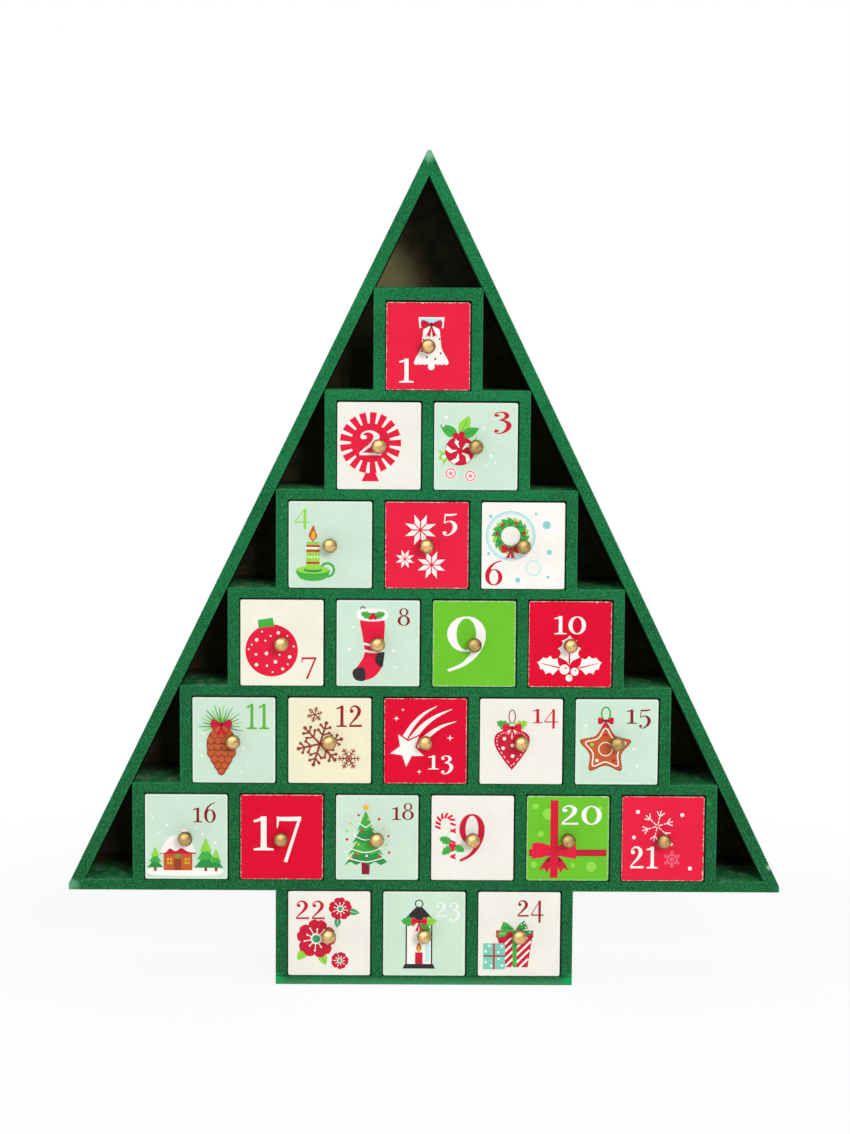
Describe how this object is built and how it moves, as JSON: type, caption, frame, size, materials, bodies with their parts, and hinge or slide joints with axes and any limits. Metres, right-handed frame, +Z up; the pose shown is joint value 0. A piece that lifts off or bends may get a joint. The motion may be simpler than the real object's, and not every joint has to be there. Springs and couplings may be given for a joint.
{
  "type": "tree advent calendar",
  "caption": "Tree-shaped wooden cabinet on a square trunk, with stepped rows of small numbered drawers that pull out by ball knobs.",
  "frame": {"origin": "centre of the underside of the trunk's floor, where the calendar stands", "axes": "+Z up the tree, -Y out of the front, the way the drawers open, +X to the right as seen from the front"},
  "size_m": [0.3584, 0.072, 0.4179],
  "materials": {
    "frame_paint": "dark green satin paint on fibreboard, worn lighter at the arrises",
    "back_sheet": "dark green paint on thin fibreboard",
    "front_red": "satin print on fibreboard, cream where the edges are chipped",
    "front_cream": "satin print on fibreboard",
    "front_yellow": "satin print on fibreboard",
    "front_mint": "satin print on fibreboard",
    "front_leaf": "satin print on fibreboard",
    "tray_board": "bare fibreboard",
    "print_ink": "flat printed ink",
    "knob_brass": "dull brass, rubbed"
  },
  "bodies": {
    "carcass": {"tier_1": "frame_paint", "tier_2": "frame_paint", "tier_3": "frame_paint", "tier_4": "frame_paint", "tier_5": "frame_paint", "tier_6": "frame_paint", "base_board": "frame_paint", "trunk_frame": "frame_paint", "roof_left": "frame_paint", "roof_right": "frame_paint", "back_panel": "back_sheet"},
    "drawer_01": {"drawer_01": "front_red", "knob_01": "knob_brass"},
    "drawer_02": {"drawer_02": "front_cream", "knob_02": "knob_brass"},
    "drawer_03": {"drawer_03": "front_mint", "knob_03": "knob_brass"},
    "drawer_04": {"drawer_04": "front_mint", "knob_04": "knob_brass"},
    "drawer_05": {"drawer_05": "front_red", "knob_05": "knob_brass"},
    "drawer_06": {"drawer_06": "front_cream", "knob_06": "knob_brass"},
    "drawer_07": {"drawer_07": "front_cream", "knob_07": "knob_brass"},
    "drawer_08": {"drawer_08": "front_mint", "knob_08": "knob_brass"},
    "drawer_09": {"drawer_09": "front_leaf", "knob_09": "knob_brass"},
    "drawer_10": {"drawer_10": "front_red", "knob_10": "knob_brass"},
    "drawer_11": {"drawer_11": "front_mint", "knob_11": "knob_brass"},
    "drawer_12": {"drawer_12": "front_yellow", "knob_12": "knob_brass"},
    "drawer_13": {"drawer_13": "front_red", "knob_13": "knob_brass"},
    "drawer_14": {"drawer_14": "front_cream", "knob_14": "knob_brass"},
    "drawer_15": {"drawer_15": "front_mint", "knob_15": "knob_brass"},
    "drawer_16": {"drawer_16": "front_mint", "knob_16": "knob_brass"},
    "drawer_17": {"drawer_17": "front_red", "knob_17": "knob_brass"},
    "drawer_18": {"drawer_18": "front_mint", "knob_18": "knob_brass"},
    "drawer_19": {"drawer_19": "front_cream", "knob_19": "knob_brass"},
    "drawer_20": {"drawer_20": "front_leaf", "knob_20": "knob_brass"},
    "drawer_21": {"drawer_21": "front_red", "knob_21": "knob_brass"},
    "drawer_22": {"drawer_22": "front_cream", "knob_22": "knob_brass"},
    "drawer_23": {"drawer_23": "front_mint", "knob_23": "knob_brass"},
    "drawer_24": {"drawer_24": "front_cream", "knob_24": "knob_brass"}
  },
  "joints": [
    {"name": "drawer_01_slide", "type": "slide", "parent": "carcass", "child": "drawer_01", "axis": [0, -1, 0], "range_m": [0, 0.048]},
    {"name": "drawer_02_slide", "type": "slide", "parent": "carcass", "child": "drawer_02", "axis": [0, -1, 0], "range_m": [0, 0.048]},
    {"name": "drawer_03_slide", "type": "slide", "parent": "carcass", "child": "drawer_03", "axis": [0, -1, 0], "range_m": [0, 0.048]},
    {"name": "drawer_04_slide", "type": "slide", "parent": "carcass", "child": "drawer_04", "axis": [0, -1, 0], "range_m": [0, 0.048]},
    {"name": "drawer_05_slide", "type": "slide", "parent": "carcass", "child": "drawer_05", "axis": [0, -1, 0], "range_m": [0, 0.048]},
    {"name": "drawer_06_slide", "type": "slide", "parent": "carcass", "child": "drawer_06", "axis": [0, -1, 0], "range_m": [0, 0.048]},
    {"name": "drawer_07_slide", "type": "slide", "parent": "carcass", "child": "drawer_07", "axis": [0, -1, 0], "range_m": [0, 0.048]},
    {"name": "drawer_08_slide", "type": "slide", "parent": "carcass", "child": "drawer_08", "axis": [0, -1, 0], "range_m": [0, 0.048]},
    {"name": "drawer_09_slide", "type": "slide", "parent": "carcass", "child": "drawer_09", "axis": [0, -1, 0], "range_m": [0, 0.048]},
    {"name": "drawer_10_slide", "type": "slide", "parent": "carcass", "child": "drawer_10", "axis": [0, -1, 0], "range_m": [0, 0.048]},
    {"name": "drawer_11_slide", "type": "slide", "parent": "carcass", "child": "drawer_11", "axis": [0, -1, 0], "range_m": [0, 0.048]},
    {"name": "drawer_12_slide", "type": "slide", "parent": "carcass", "child": "drawer_12", "axis": [0, -1, 0], "range_m": [0, 0.048]},
    {"name": "drawer_13_slide", "type": "slide", "parent": "carcass", "child": "drawer_13", "axis": [0, -1, 0], "range_m": [0, 0.048]},
    {"name": "drawer_14_slide", "type": "slide", "parent": "carcass", "child": "drawer_14", "axis": [0, -1, 0], "range_m": [0, 0.048]},
    {"name": "drawer_15_slide", "type": "slide", "parent": "carcass", "child": "drawer_15", "axis": [0, -1, 0], "range_m": [0, 0.048]},
    {"name": "drawer_16_slide", "type": "slide", "parent": "carcass", "child": "drawer_16", "axis": [0, -1, 0], "range_m": [0, 0.048]},
    {"name": "drawer_17_slide", "type": "slide", "parent": "carcass", "child": "drawer_17", "axis": [0, -1, 0], "range_m": [0, 0.048]},
    {"name": "drawer_18_slide", "type": "slide", "parent": "carcass", "child": "drawer_18", "axis": [0, -1, 0], "range_m": [0, 0.048]},
    {"name": "drawer_19_slide", "type": "slide", "parent": "carcass", "child": "drawer_19", "axis": [0, -1, 0], "range_m": [0, 0.048]},
    {"name": "drawer_20_slide", "type": "slide", "parent": "carcass", "child": "drawer_20", "axis": [0, -1, 0], "range_m": [0, 0.048]},
    {"name": "drawer_21_slide", "type": "slide", "parent": "carcass", "child": "drawer_21", "axis": [0, -1, 0], "range_m": [0, 0.048]},
    {"name": "drawer_22_slide", "type": "slide", "parent": "carcass", "child": "drawer_22", "axis": [0, -1, 0], "range_m": [0, 0.048]},
    {"name": "drawer_23_slide", "type": "slide", "parent": "carcass", "child": "drawer_23", "axis": [0, -1, 0], "range_m": [0, 0.048]},
    {"name": "drawer_24_slide", "type": "slide", "parent": "carcass", "child": "drawer_24", "axis": [0, -1, 0], "range_m": [0, 0.048]}
  ]
}
